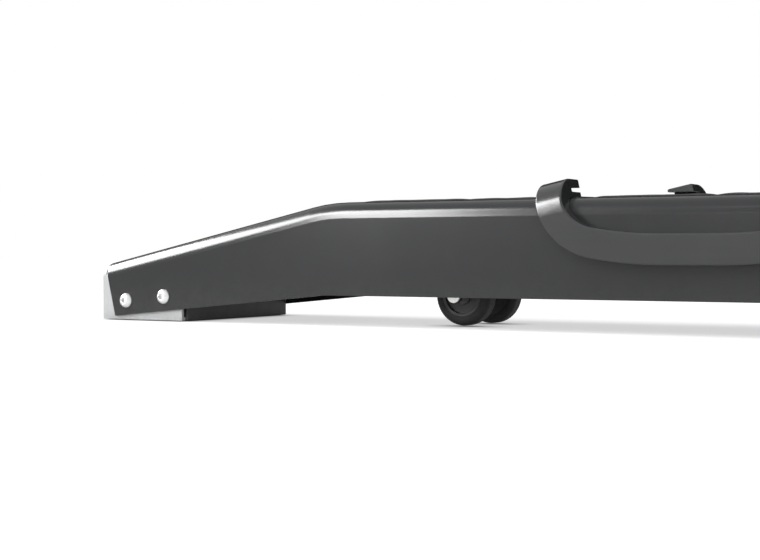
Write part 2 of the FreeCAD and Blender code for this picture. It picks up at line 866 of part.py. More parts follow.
# ---------------------------------------------------------------- cross tubes and wheel frames
tube_low = leaf_low - cross_tube_depth
tube_start = panel_start - (panel_start - hinge_x) / 3


def box_tube(owner, name, x_low, z_low):
    """A rectangular tube from web to web."""
    sketch = sketch_on(owner, "XZ_Plane", name, z=web_inside)
    x_high, z_high = x_low + cross_tube_width, z_low + cross_tube_depth
    rectangle(sketch, x_low, x_high, z_low, z_high)
    wall = cross_tube_wall
    rectangle(sketch, x_low + wall, x_high - wall, z_low + wall, z_high - wall)
    return pad(owner, sketch, 2 * web_inside, reverse=True)


for end, label in ((LEFT, "cross_tube_left"), (RIGHT, "cross_tube_right")):
    tube = body(label)
    box_tube(tube, label + "_section", span(end, tube_start, tube_start + cross_tube_width)[0], tube_low)
    node(tube, label)

wheel_tube_low = axle_height + wheel_diameter / 2 + wheel_tube_gap
fork_inside = (wheel_track + wheel_width) / 2 + fork_wheel_gap
fork_outside = fork_inside + fork_thickness


def wheel_frame(end, label):
    """A cross tube with two fork plates under it for the axle."""
    owner = body(label)
    x = end * wheel_station
    box_tube(owner, label + "_tube", x - cross_tube_width / 2, wheel_tube_low)
    half = cross_tube_width / 2
    for side in (NEAR, FAR):
        low, high = span(side, fork_inside, fork_outside)
        plate = sketch_on(owner, "XZ_Plane", f"{label}_fork{side + 1}", z=-low)
        outline(
            plate,
            [
                (x - fork_end_radius, axle_height, fork_end_radius, 1),
                (x + fork_end_radius, axle_height),
                (x + half, wheel_tube_low),
                (x - half, wheel_tube_low),
            ],
        )
        pad(owner, plate, high - low, reverse=True)
    bore = sketch_on(owner, "XZ_Plane", label + "_bore")
    ring(bore, x, axle_height, axle_diameter / 2 + axle_running_gap)
    pocket(owner, bore)
    return node(owner, label)


def turned_piece(label, corners, x, z):
    """A piece turned about an axis across the board; corners are (y, radius)."""
    owner = body(label)
    profile = sketch_on(owner, "YZ_Plane", label + "_profile")
    outline(profile, corners)
    revolve(owner, profile)
    place(owner, x=x, z=z)
    doc.recompute()
    return owner


def bush(label, y_low, y_high, inner, outer, x, z):
    corners = [(y_low, inner), (y_high, inner), (y_high, outer), (y_low, outer)]
    return turned_piece(label, corners, x, z)


def headed_pin(label, shank, half, head, head_height, x, z, y=0):
    """A pin across the board with a flat head at both ends."""
    corners = [
        (y - half - head_height, 0),
        (y + half + head_height, 0),
        (y + half + head_height, head / 2),
        (y + half, head / 2),
        (y + half, shank / 2),
        (y - half, shank / 2),
        (y - half, head / 2),
        (y - half - head_height, head / 2),
    ]
    return turned_piece(label, corners, x, z)


def wheel(end, side, label):
    """A tyre with rounded shoulders on a dished hub that turns on the axle."""
    x = end * wheel_station
    middle = side * wheel_track / 2
    low, high = middle - wheel_width / 2, middle + wheel_width / 2
    radius, inner = wheel_diameter / 2, hub_diameter / 2
    tyre = [
        (low, inner),
        (high, inner),
        (high, radius - wheel_shoulder, wheel_shoulder, 1),
        (high - wheel_shoulder, radius),
        (low + wheel_shoulder, radius, wheel_shoulder, 1),
        (low, radius - wheel_shoulder),
    ]
    node(turned_piece("tyre_" + label, tyre, x, axle_height), "tyre_" + label)
    bore = axle_diameter / 2 + axle_running_gap
    boss, rim = hub_boss_diameter / 2, inner - hub_recess
    hub = [
        (low, bore),
        (high, bore),
        (high, boss),
        (high - hub_recess, boss),
        (high - hub_recess, rim),
        (high, rim),
        (high, inner),
        (low, inner),
        (low, rim),
        (low + hub_recess, rim),
        (low + hub_recess, boss),
        (low, boss),
    ]
    node(turned_piece("hub_" + label, hub, x, axle_height), "hub_" + label)


for end, name in ((LEFT, "left"), (RIGHT, "right")):
    wheel_frame(end, f"wheel_frame_{name}")
    for side, place_name in ((NEAR, "near"), (FAR, "far")):
        wheel(end, side, f"{name}_{place_name}")
    axle = headed_pin(
        f"wheel_axle_{name}",
        axle_diameter,
        fork_outside,
        axle_head_diameter,
        axle_head_height,
        end * wheel_station,
        axle_height,
    )
    node(axle, f"wheel_axle_{name}")
    inner_gap = (wheel_track - wheel_width) / 2 - axle_spacer_gap
    outer_gap = (wheel_track + wheel_width) / 2 + axle_spacer_gap
    sleeves = []
    for count, (low, high) in enumerate(
        [(-inner_gap, inner_gap), (outer_gap, fork_inside), (-fork_inside, -outer_gap)]
    ):
        made = bush(
            f"axle_spacer_{name}{count}",
            low,
            high,
            axle_diameter / 2 + axle_running_gap,
            axle_spacer_diameter / 2,
            end * wheel_station,
            axle_height,
        )
        sleeves.append(made.Shape)
    group(f"axle_spacers_{name}", sleeves)


# ---------------------------------------------------------------- hinge
knuckle_pitch = hinge_length / 5


def hinge_half(side, label):
    """Odd or even knuckles joined by a leaf; the leaf is notched round the other half's knuckles."""
    owner = body(label)
    edge = hinge_knuckle / 2 + hinge_knuckle_gap
    half = hinge_length / 2
    leaf = sketch_on(owner, "XY_Plane", label + "_leaf", z=leaf_low)
    rectangle(leaf, *span(side, edge, hinge_leaf_reach), -half, half)
    pad(owner, leaf, hinge_leaf)
    for count in range(5):
        if (count % 2 == 0) != (side == LEFT):
            continue
        low = -half + count * knuckle_pitch + hinge_knuckle_gap / 2
        high = low + knuckle_pitch - hinge_knuckle_gap
        reach = edge + 1
        radius = hinge_knuckle / 2
        knuckle = sketch_on(owner, "XZ_Plane", f"{label}_knuckle{count}", z=-low)
        corners = [
            (0, leaf_low),
            (reach, leaf_low),
            (reach, leaf_high),
            (square_root(radius * radius - (radius - hinge_leaf) * (radius - hinge_leaf)), leaf_high),
        ]
        corners[3] = corners[3] + (radius, 1)
        top = (0, hinge_height + radius, radius, 1)
        outline(knuckle, ordered(side, corners + [top]))
        pad(owner, knuckle, high - low, reverse=True)
    bore = sketch_on(owner, "XZ_Plane", label + "_bore")
    ring(bore, 0, hinge_height, hinge_pin_diameter / 2 + hinge_pin_gap)
    pocket(owner, bore)
    place(owner, x=-hinge_x)
    return node(owner, label)


hinge_half(LEFT, "hinge_base_leaf")
hinge_half(RIGHT, "hinge_deck_leaf")
pin = rod(
    "hinge_pin",
    hinge_pin_diameter / 2,
    -hinge_x,
    -hinge_length / 2 - hinge_pin_overhang,
    hinge_length / 2 + hinge_pin_overhang,
    hinge_height,
)
node(pin, "hinge_pin")


# ---------------------------------------------------------------- deck
deck_half_length = level_half_length - deck_end_gap
deck_half_width = flange_edge - deck_side_gap
tray_under = tray_height - tray_wall


def deck_tray():
    """A folded sheet with deep side rims and cross stiffeners, which carries the pad."""
    owner = body("deck_tray")
    rim_low = tray_height - tray_rim_depth
    inside = deck_half_width - tray_wall
    section = [
        (-deck_half_width, rim_low),
        (-inside, rim_low),
        (-inside, tray_under),
        (inside, tray_under),
        (inside, rim_low),
        (deck_half_width, rim_low),
        (deck_half_width, tray_height),
        (-deck_half_width, tray_height),
    ]
    prism_along_x(owner, "tray_section", section, -deck_half_length, deck_half_length)
    stations = [
        -tray_stiffener_outer,
        -tray_stiffener_left,
        tray_stiffener_right,
        tray_stiffener_outer,
    ]
    for count, station in enumerate(stations):
        web = [
            (station, tray_under - tray_stiffener_depth),
            (station + tray_wall, tray_under - tray_stiffener_depth),
            (station + tray_wall, tray_under),
            (station, tray_under),
        ]
        prism_along_y(owner, f"tray_stiffener{count}", web, -inside, inside)
    # the rim is folded round the right-hand end too, clear of the hinge at the left
    rim = [
        (deck_half_length - tray_wall, rim_low),
        (deck_half_length, rim_low),
        (deck_half_length, tray_under),
        (deck_half_length - tray_wall, tray_under),
    ]
    prism_along_y(owner, "tray_end_rim", rim, -inside, inside)
    holes = sketch_on(owner, "XY_Plane", "tray_screw_holes", z=tray_height)
    for x, y in grip_screw_places:
        ring(holes, x, y, grip_screw_shank / 2 + thread_gap)
    pocket(owner, holes)
    return node(owner, "deck_tray")


grip_foot_middle = deck_half_width - grip_foot_width / 2
grip_shifts = {NEAR: Size.of(0), FAR: grip_far_shift}
grip_screw_places = [
    (grip_shifts[side] + end * grip_stem_station, side * grip_foot_middle)
    for end in (LEFT, RIGHT)
    for side in (NEAR, FAR)
]
deck_tray()

# each stem of a grip leans outwards; its two edges run on from the bow's arcs
stem_level = top_height - beam_edge_radius
stem_spread = tangent(grip_lean)


def stem_end(across):
    """Where an arc of the bow turns into the stem's straight edge, that far out from the middle."""
    x = grip_stem_station + across * cosine(grip_lean) + grip_stem_rise * sine(grip_lean)
    return x, stem_level - across * sine(grip_lean) + grip_stem_rise * cosine(grip_lean)


outer_end_x, outer_end_z = stem_end(grip_stem_width / 2)
hand_end_x, hand_end_z = stem_end(-grip_stem_width / 2)


def deck_pad():
    """The padded top, notched round the four feet of the grips."""
    owner = body("deck_pad")
    half = flange_edge - pad_side_gap
    notch = deck_half_width - grip_foot_width - pad_notch_gap
    # the hand opening curves in under the stems, so the feet reach further in than the stems do
    curve = grip_hand_tight_radius
    curve_drop = hand_end_z + curve * sine(grip_lean) - tray_height
    curve_middle = hand_end_x - curve * cosine(grip_lean)
    inner = curve_middle + square_root(curve * curve - curve_drop * curve_drop) - pad_notch_gap
    outer = outer_end_x + (top_height - outer_end_z) * stem_spread + pad_notch_gap
    corners = []
    for side in (FAR, NEAR):
        edge = [(deck_half_length, side * half)]
        for first, last in ((outer, inner), (-inner, -outer)):
            for x, y in ((first, half), (first, notch), (last, notch), (last, half)):
                edge.append((grip_shifts[side] + x, side * y))
        edge.append((-deck_half_length, side * half))
        corners += edge if side == FAR else edge[::-1]
    prism_along_z(owner, "pad_outline", corners, tray_height + pad_lift, top_height)
    round_edges(
        owner,
        lambda edge: all(near(v.Z, top_height) for v in edge.Vertexes),
        pad_corner_radius,
    )
    return node(owner, "deck_pad")


deck_pad()

bumpers = []
bumper_low = wheel_tube_low + cross_tube_depth
for end in (LEFT, RIGHT):
    for side in (NEAR, FAR):
        made = doc.addObject("Part::Cylinder", "bumper")
        bind(made, Radius=bumper_diameter / 2, Height=tray_under - bumper_gap - bumper_low)
        place(made, end * wheel_station, side * bumper_track / 2, bumper_low)
        doc.recompute()
        bumpers.append(made.Shape)
group("deck_bumpers", bumpers)


# ---------------------------------------------------------------- hand grips
def bow_join(low, end_x, end_z, tight):
    """Two tangent arcs, wide then tight, from the level bar up to a stem's edge.

    Gives the wide radius and the point where the arcs meet.
    """
    along = end_x - grip_bow_centre - tight * cosine(grip_lean)
    rise = end_z - low - tight * (1 - sine(grip_lean))
    square = along * along + rise * rise
    wide = square / (2 * rise) + tight
    meet_x = grip_bow_centre + wide * (2 * along * rise) / square
    return wide, meet_x, low + wide * (2 * rise * rise) / square


def grip(side, label):
    """A moulded band that bows down the beam's face, hooks over its top and stands on the tray.

    The outer section is concentric with the beam's rounded edge.  Each half runs it outwards along a
    line that falls with the lean of the stem, so it crosses the stem squarely.  The bow seen from the
    front is then left standing by cutting away everything around it, and the room for the beam, the
    slot and the pocket over the foot are cut along the board.
    """
    owner = body(label)
    back = half_width + running_gap
    front = back + grip_thickness
    beam_top = top_height + running_gap
    grip_top = beam_top + grip_thickness
    arc_middle = half_width - beam_edge_radius
    arc_radius = beam_edge_radius + running_gap
    web_outer = deck_half_width
    web_inner = web_outer - grip_web
    foot_inner = web_outer - grip_foot_width
    foot_top = tray_height + grip_foot_thickness
    slot_low = beam_top + grip_prong_low
    slot_high = slot_low + grip_slot_height
    slot_end = foot_inner + grip_slot_depth - grip_slot_height / 2
    over = grip_top + grip_stem_width
    margin = grip_edge_radius
    reach_out = outer_end_x + (over - outer_end_z) * stem_spread
    reach_in = hand_end_x + (over - hand_end_z) * stem_spread
    lift = stem_spread * grip_stem_station
    section = [
        (foot_inner, beam_underside),
        (front, beam_underside),
        (front, stem_level + lift, arc_radius + grip_thickness, 1),
        (arc_middle, grip_top + lift),
        (foot_inner, grip_top + lift),
    ]
    for end in (LEFT, RIGHT):
        sketch = sketch_on(owner, "YZ_Plane", f"{label}_section{end + 1}")
        outline(sketch, ordered(side, section))
        half = owner.newObject("PartDesign::Pad", f"{label}_half{end + 1}")
        half.Profile = sketch
        half.UseCustomVector = True
        half.AlongSketchNormal = True
        half.Direction = FreeCAD.Vector(end, 0, -stem_spread.value)
        bind(half, Length=reach_out + margin, Direction__z=-stem_spread)
        doc.recompute()

    low = stem_level - grip_drop
    hand_low = low + grip_bar_height
    wide, meet_x, meet_z = bow_join(low, outer_end_x, outer_end_z, grip_bow_tight_radius)
    hand_wide, hand_x, hand_z = bow_join(hand_low, hand_end_x, hand_end_z, grip_hand_tight_radius)
    right = [
        (grip_bow_centre, low, wide, 1),
        (meet_x, meet_z, grip_bow_tight_radius, 1),
        (outer_end_x, outer_end_z),
        (reach_out, over),
        (reach_in, over),
        (hand_end_x, hand_end_z, grip_hand_tight_radius, -1),
        (hand_x, hand_z, hand_wide, -1),
        (grip_bow_centre, hand_low),
    ]
    outside = sketch_on(owner, "XZ_Plane", label + "_bow")
    past = reach_out + 2 * margin
    rectangle(outside, -past, past, -top_height, 2 * top_height)
    outline(outside, right + ordered(-1, right))
    pocket(owner, outside)

    def is_front(edge):
        """An edge of the flat front, but not the line across a stem where the rounding starts."""
        on_front = all(near(v.Y, side * front) for v in edge.Vertexes)
        across = near(abs(middle_of(edge).x), grip_stem_station, grip_stem_width.value / 4)
        return on_front and not across

    round_edges(owner, is_front, grip_edge_radius)

    beam_room = [
        (foot_inner - margin, -top_height),
        (back, -top_height),
        (back, stem_level, arc_radius, 1),
        (arc_middle, beam_top),
        (web_outer, beam_top),
        (web_outer, tray_height),
        (foot_inner - margin, tray_height),
    ]
    over_foot = [
        (foot_inner - margin, foot_top),
        (web_inner, foot_top),
        (web_inner, beam_top),
        (foot_inner - margin, beam_top),
    ]
    slot = [
        (foot_inner - margin, slot_low),
        (slot_end, slot_low, grip_slot_height / 2, 1),
        (slot_end, slot_high),
        (foot_inner - margin, slot_high),
    ]
    inside = sketch_on(owner, "YZ_Plane", label + "_inside")
    for room in (beam_room, over_foot, slot):
        outline(inside, ordered(side, room))
    pocket(owner, inside)
    holes = sketch_on(owner, "XY_Plane", label + "_screw_holes", z=tray_height)
    for end in (LEFT, RIGHT):
        ring(holes, end * grip_stem_station, side * grip_foot_middle, grip_screw_shank / 2 + thread_gap)
    pocket(owner, holes, grip_screw_depth, reverse=True)
    place(owner, x=grip_shifts[side])
    return node(owner, label)


grip(NEAR, "grip_near")
grip(FAR, "grip_far")

grip_screw = body("grip_screw_master")
grip_screw_profile = sketch_on(grip_screw, "XZ_Plane", "grip_screw_profile")
head_low = tray_under - grip_screw_head_height
outline(
    grip_screw_profile,
    [
        (0, head_low),
        (grip_screw_head / 4, head_low, grip_screw_head * 0.4, 1),
        (grip_screw_head / 2, tray_under - 1),
        (grip_screw_head / 2, tray_under),
        (grip_screw_shank / 2, tray_under),
        (grip_screw_shank / 2, tray_height + grip_screw_depth - 1),
        (0, tray_height + grip_screw_depth - 1),
    ],
)
turned = grip_screw.newObject("PartDesign::Revolution", "grip_screw_turned")
turned.Profile = grip_screw_profile
turned.ReferenceAxis = (grip_screw_profile, ["V_Axis"])
turned.Angle = 360
doc.recompute()
group("grip_screws", [copy_at(grip_screw.Shape, x, y) for x, y in grip_screw_places])


# ---------------------------------------------------------------- prop
arm_rise = (prop_pivot_height - prop_bar_height) / prop_length
arm_run = square_root(1 - arm_rise * arm_rise)
prop_foot = prop_length * arm_run - prop_setback
arm_middle = prop_arm_track / 2
arm_inside = arm_middle - prop_arm_thickness / 2
arm_outside = arm_middle + prop_arm_thickness / 2
rack_end = rack_start + rack_teeth * rack_pitch


def prop_arm(side, label):
    """A flat bar with rounded ends, bored for its pin and for the foot bar."""
    owner = body(label)
    radius = prop_arm_width / 2
    shift_x, shift_z = radius * arm_rise, radius * arm_run
    low, high = span(side, arm_inside, arm_outside)
    plate = sketch_on(owner, "XZ_Plane", label + "_outline", z=-low)
    outline(
        plate,
        [
            (-prop_setback - shift_x, prop_pivot_height - shift_z),
            (prop_foot - shift_x, prop_bar_height - shift_z, radius, 1),
            (prop_foot + shift_x, prop_bar_height + shift_z),
            (-prop_setback + shift_x, prop_pivot_height + shift_z, radius, 1),
        ],
    )
    pad(owner, plate, high - low, reverse=True)
    bores = sketch_on(owner, "XZ_Plane", label + "_bores")
    ring(bores, -prop_setback, prop_pivot_height, prop_pin_diameter / 2 + prop_running_gap)
    ring(bores, prop_foot, prop_bar_height, prop_bar_diameter / 2 + prop_running_gap)
    pocket(owner, bores)
    return node(owner, label)


def prop_bracket(side, label):
    """A channel under the tray that holds the arm's pin on both sides."""
    owner = body(label)
    inner = arm_inside - prop_bracket_gap
    outer = arm_outside + prop_bracket_gap
    wall = prop_bracket_wall
    bottom = prop_pivot_height - prop_bracket_round
    section = [
        (inner - wall, bottom),
        (inner, bottom),
        (inner, tray_under - wall),
        (outer, tray_under - wall),
        (outer, bottom),
        (outer + wall, bottom),
        (outer + wall, tray_under),
        (inner - wall, tray_under),
    ]
    half = prop_bracket_length / 2
    low, high = -prop_setback - half, half - prop_setback
    prism_along_x(owner, label + "_section", ordered(side, section), low, high)
    round_edges(
        owner,
        lambda edge: all(near(v.Z, bottom) for v in edge.Vertexes)
        and near(edge.Vertexes[0].X, edge.Vertexes[1].X),
        prop_bracket_round,
    )
    bore = sketch_on(owner, "XZ_Plane", label + "_bore")
    ring(bore, -prop_setback, prop_pivot_height, prop_pin_diameter / 2 + prop_running_gap)
    pocket(owner, bore)
    return node(owner, label)


def prop_rack(side, label):
    """A row of saw teeth; their tips keep clear of the sleeve all along its path."""
    owner = body(label)
    base_top = beam_underside + rack_base_thickness
    rise = rack_dip / (rack_dip_station - rack_start)
    tip_start = prop_bar_height - prop_sleeve_diameter / 2 - rack_clearance
    corners = [(rack_start, base_top)]
    corners += [(rack_end, base_top), (rack_end, tip_start - rack_dip)]
    for count in range(int(rack_teeth.value) - 1, -1, -1):
        left = rack_start + count * rack_pitch
        drop = rise * (left - rack_start) if left.value < rack_dip_station.value else rack_dip
        corners += [(left + rack_valley, tip_start - rack_dip - rack_low)]
        corners += [(left, tip_start - drop)]
    low, high = span(side, (rack_track - rack_thickness) / 2, (rack_track + rack_thickness) / 2)
    prism_along_y(owner, label + "_teeth", corners, low, high)
    return node(owner, label)


for side, name in ((NEAR, "near"), (FAR, "far")):
    prop_arm(side, f"prop_arm_{name}")
    prop_bracket(side, f"prop_bracket_{name}")
    prop_rack(side, f"prop_rack_{name}")

bar_half = arm_outside + prop_bar_overhang
node(rod("prop_bar", prop_bar_diameter / 2, prop_foot, -bar_half, bar_half, prop_bar_height), "prop_bar")
sleeves, pins = [], []
for side in (NEAR, FAR):
    low, high = span(side, (rack_track - prop_sleeve_length) / 2, (rack_track + prop_sleeve_length) / 2)
    made = bush(
        f"prop_sleeve{side + 1}",
        low,
        high,
        prop_bar_diameter / 2 + prop_running_gap,
        prop_sleeve_diameter / 2,
        prop_foot,
        prop_bar_height,
    )
    sleeves.append(made.Shape)
    made = headed_pin(
        f"prop_pin{side + 1}",
        prop_pin_diameter,
        prop_arm_thickness / 2 + prop_bracket_gap + prop_bracket_wall,
        prop_pin_head_diameter,
        prop_pin_head_height,
        -prop_setback,
        prop_pivot_height,
        side * arm_middle,
    )
    pins.append(made.Shape)
group("prop_sleeves", sleeves)
group("prop_pins", pins)

base = body("rack_base")
base_sketch = sketch_on(base, "XY_Plane", "rack_base_outline", z=beam_underside)
rectangle(
    base_sketch,
    rack_start - rack_base_margin,
    rack_end + rack_base_margin,
    -web_inside,
    web_inside,
)
pad(base, base_sketch, rack_base_thickness)
node(base, "rack_base")


# ---------------------------------------------------------------- write the files
doc.recompute()
os.makedirs("parts", exist_ok=True)
for item in doc.Objects:
    if {"Invalid", "Error"} & set(item.State):
        raise RuntimeError(f"{item.Name} failed: {item.State}")
for label, made in nodes.items():
    shape = made.Shape
    if shape.isNull() or not shape.isValid() or not shape.Solids:
        raise RuntimeError(f"{label} has no valid solid")
for label, made in nodes.items():
    made.Shape.exportStep(os.path.join("parts", f"{label}.step"))
print(f"{len(nodes)} pieces written")
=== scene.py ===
# %% [markdown]
# # A low slant board, dressed for its picture
#
# The board is two long pressed-steel beams on a moulded block at each end, with a padded deck
# between them that tilts up on a hinge.  Its shape comes ready from the imported CAD model.  This
# lesson gives it its surfaces, its sewn cover, the light and the camera.

# %% Load the imported model
import bmesh
import bpy
import json
import math
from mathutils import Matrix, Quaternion, Vector, noise


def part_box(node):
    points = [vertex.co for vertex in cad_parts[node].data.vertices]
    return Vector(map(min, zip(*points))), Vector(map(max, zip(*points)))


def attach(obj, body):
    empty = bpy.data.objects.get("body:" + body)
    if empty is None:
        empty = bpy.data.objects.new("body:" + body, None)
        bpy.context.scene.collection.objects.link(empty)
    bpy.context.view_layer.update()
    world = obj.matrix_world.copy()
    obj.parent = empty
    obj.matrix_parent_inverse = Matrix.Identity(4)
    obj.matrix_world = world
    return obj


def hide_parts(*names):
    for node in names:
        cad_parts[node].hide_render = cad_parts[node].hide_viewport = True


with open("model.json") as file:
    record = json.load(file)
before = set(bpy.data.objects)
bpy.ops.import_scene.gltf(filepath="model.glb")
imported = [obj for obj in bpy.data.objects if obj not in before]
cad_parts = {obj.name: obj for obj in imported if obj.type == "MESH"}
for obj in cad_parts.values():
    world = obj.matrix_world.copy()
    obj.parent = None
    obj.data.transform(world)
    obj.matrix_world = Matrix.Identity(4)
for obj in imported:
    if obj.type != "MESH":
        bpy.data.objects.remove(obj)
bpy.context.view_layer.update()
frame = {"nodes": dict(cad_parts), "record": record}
nodes = frame["nodes"]
for plain in list(bpy.data.materials):
    plain.name = "plain_" + plain.name

# %% [markdown]
# ## The camera
#
# A photograph's camera can be found by matching a few known points, such as the beam's corners and
# the screws.  That gave a camera near the floor, right of the seen half, looking a little to the
# left and one degree down.  A long lens keeps the beam's lines nearly parallel.

# %% Camera
downward, leftward = math.radians(1.04), math.radians(30.5)
focal_pixels = 1448.95
picture_pixels = 760
sensor_mm = 36

camera = bpy.data.objects.new("camera", bpy.data.cameras.new("camera"))
bpy.context.scene.collection.objects.link(camera)
camera.location = (0.5354, -1.7647, 0.09625)
camera.rotation_euler = (math.radians(90) - downward, 0, leftward)
camera.data.sensor_width = sensor_mm
camera.data.lens = focal_pixels / picture_pixels * sensor_mm
camera.data.clip_end = 100
bpy.context.scene.camera = camera
bpy.context.scene.view_settings.view_transform = "Standard"
print("lens", round(camera.data.lens, 2), "mm")

# %% [markdown]
# ## Small helpers for node trees
#
# Every finish here is a network of nodes.  Writing each node with its inputs in one line keeps the
# cells short, so we make one helper that adds a node, and one that starts a reusable group.

# %% Node helpers
def add(tree, kind, inputs=None, **settings):
    """Add a shader node; each input gets a constant or another node's output."""
    made = tree.nodes.new("ShaderNode" + kind)
    for name, value in settings.items():
        setattr(made, name, value)
    for key, value in (inputs or {}).items():
        if isinstance(value, bpy.types.NodeSocket):
            tree.links.new(value, made.inputs[key])
        else:
            made.inputs[key].default_value = value
    return made


def remap(tree, value, start, end, low=0.0, high=1.0, **settings):
    """A mask stretched so that start becomes low and end becomes high."""
    inputs = {"Value": value, "From Min": start, "From Max": end, "To Min": low, "To Max": high}
    return add(tree, "MapRange", inputs, **settings).outputs["Result"]


def blend(tree, share, first, second):
    """A value between two values."""
    return add(tree, "Mix", {0: share, 2: first, 3: second}, data_type="FLOAT").outputs[0]


def blend_colours(tree, share, first, second):
    """A colour between two colours."""
    return add(tree, "Mix", {0: share, 6: first, 7: second}, data_type="RGBA").outputs[2]


def start_group(name, inputs, outputs):
    """An empty shader group with named sockets, and its input and output nodes."""
    tree = bpy.data.node_groups.new(name, "ShaderNodeTree")
    for label, kind, value in inputs:
        socket = tree.interface.new_socket(
            name=label, in_out="INPUT", socket_type="NodeSocket" + kind
        )
        socket.default_value = value
    for label, kind in outputs:
        tree.interface.new_socket(name=label, in_out="OUTPUT", socket_type="NodeSocket" + kind)
    return tree, tree.nodes.new("NodeGroupInput"), tree.nodes.new("NodeGroupOutput")


def place_group(tree, group, **values):
    """Put a group into a material, with this material's own values."""
    made = tree.nodes.new("ShaderNodeGroup")
    made.node_tree = group
    for name, value in values.items():
        socket = made.inputs[name.replace("_", " ")]
        if isinstance(value, bpy.types.NodeSocket):
            tree.links.new(value, socket)
        else:
            socket.default_value = value
    return made


def start_material(name, **constants):
    """A material with one Principled shader whose constant inputs are set on its own sockets."""
    material = bpy.data.materials.new(name)
    material.use_nodes = True
    tree = material.node_tree
    shader = tree.nodes["Principled BSDF"]
    for key, value in constants.items():
        shader.inputs[key.replace("_", " ")].default_value = value
    return material, tree, shader


def feed(tree, shader, **sockets):
    """Link outputs to the shader's inputs by name."""
    for key, socket in sockets.items():
        tree.links.new(socket, shader.inputs[key.replace("_", " ")])


print("helpers ready")

# %% [markdown]
# ## Soft edges, and lighter edges
#
# No pressed or moulded edge is perfectly sharp: each catches a thin line of light, and the finish
# is thinnest there.  We could bevel every mesh, but the CAD shapes have to stay as they are.  A
# Bevel node rounds only the shading.  Where its normal leaves the true one, there is an edge, and
# that gives a mask for lighter edges as well: partly wear, partly a painted highlight.

# %% Group: soft edge
soft_edge, into, out = start_group(
    "soft_edge", [("Radius", "Float", 0.001)], [("Normal", "Vector"), ("Edge", "Float")]
)
rounded = add(soft_edge, "Bevel", {"Radius": into.outputs["Radius"]}, samples=4)
true_normal = add(soft_edge, "NewGeometry")
agree = add(
    soft_edge,
    "VectorMath",
    {0: rounded.outputs["Normal"], 1: true_normal.outputs["Normal"]},
    operation="DOT_PRODUCT",
)
edge = remap(soft_edge, agree.outputs["Value"], 0.99, 0.80)
soft_edge.links.new(rounded.outputs["Normal"], out.inputs["Normal"])
soft_edge.links.new(edge, out.inputs["Edge"])
print(soft_edge.name, "puts out", [socket.name for socket in out.inputs if socket.name])

# %% [markdown]
# ## Grain at two scales
#
# Paint and moulded plastic share one thing: a fine texture that breaks up reflections, and slow
# clouds where the finish is a shade lighter, darker or glossier.  Two noises do that.  They are
# worked out from the piece's own coordinates in metres, so the grain has a real size.

# %% Group: grain and clouds
grain_and_clouds, into, out = start_group(
    "grain_and_clouds",
    [("Grain Scale", "Float", 900.0), ("Cloud Scale", "Float", 12.0)],
    [("Grain", "Float"), ("Clouds", "Float")],
)
where = add(grain_and_clouds, "TexCoord").outputs["Object"]
for scale_name, result_name, detail in (
    ("Grain Scale", "Grain", 3.0),
    ("Cloud Scale", "Clouds", 4.0),
):
    texture = add(
        grain_and_clouds,
        "TexNoise",
        {"Vector": where, "Scale": into.outputs[scale_name], "Detail": detail, "Roughness": 0.6},
    )
    grain_and_clouds.links.new(texture.outputs["Fac"], out.inputs[result_name])
print(grain_and_clouds.name, "puts out", [socket.name for socket in out.inputs if socket.name])

# %% [markdown]
# ## Dust and floor light low down
#
# A thing that stands on the floor is dirtiest low down, and a white floor throws light up onto its
# lower part.  The group blends a second colour, the tint, over the finish below a given height,
# broken up by noise so that it never ends in a line.  On the dark finishes the tint is lighter and
# stands partly for dust and partly for painted light from the floor; on the light grey blocks it
# makes them darker towards the bottom.

# %% Group: settled dust
dust_and_floor_light, into, out = start_group(
    "dust_and_floor_light",
    [
        ("Colour", "Color", (0.5, 0.5, 0.5, 1)),
        ("Dust", "Color", (0.3, 0.29, 0.27, 1)),
        ("Top", "Float", 0.06),
        ("Amount", "Float", 0.3),
    ],
    [("Colour", "Color")],
)
where = add(dust_and_floor_light, "TexCoord").outputs["Object"]
height = add(dust_and_floor_light, "SeparateXYZ", {"Vector": where}).outputs["Z"]
broken = add(
    dust_and_floor_light, "TexNoise", {"Vector": where, "Scale": 55.0, "Detail": 8.0, "Roughness": 0.7}
)
share = remap(
    dust_and_floor_light, height, into.outputs["Top"], 0.0, interpolation_type="SMOOTHSTEP"
)
for factor in (
    remap(dust_and_floor_light, broken.outputs["Fac"], 0.38, 0.68, low=0.25),
    into.outputs["Amount"],
):
    share = add(dust_and_floor_light, "Math", {0: share, 1: factor}, operation="MULTIPLY").outputs[0]
# The tint below Top: on dark finishes lighter, partly dust and partly painted light from the floor;
# on the blocks darker.
with_tint = blend_colours(dust_and_floor_light, share, into.outputs["Colour"], into.outputs["Dust"])
dust_and_floor_light.links.new(with_tint, out.inputs["Colour"])
print(dust_and_floor_light.name, "puts out", [socket.name for socket in out.inputs if socket.name])

# %% [markdown]
# ## Between two shades
#
# Most finishes vary between a darker and a lighter shade of one colour, and between a smoother and
# a rougher gloss, driven by a mask.  Two small functions write those nodes.

# %% Shade and gloss helpers
def shade(tree, mask, dark, light, low=0.15, high=0.85):
    """A colour that runs from dark to light as the mask goes from low to high."""
    ramp = add(tree, "ValToRGB", {"Fac": mask})
    ramp.color_ramp.elements[0].position, ramp.color_ramp.elements[1].position = low, high
    ramp.color_ramp.elements[0].color = (*dark, 1)
    ramp.color_ramp.elements[1].color = (*light, 1)
    return ramp.outputs["Color"]


def gloss(tree, mask, smooth, rough):
    """A roughness between two values, driven by the mask."""
    return remap(tree, mask, 0.1, 0.9, smooth, rough)


def bumped(tree, height, depth, normal):
    """Raise a height map by a real depth in metres over a given normal."""
    inputs = {"Height": height, "Distance": depth, "Strength": 1.0, "Normal": normal}
    return add(tree, "Bump", inputs).outputs["Normal"]


print("shade, gloss and bump helpers ready")
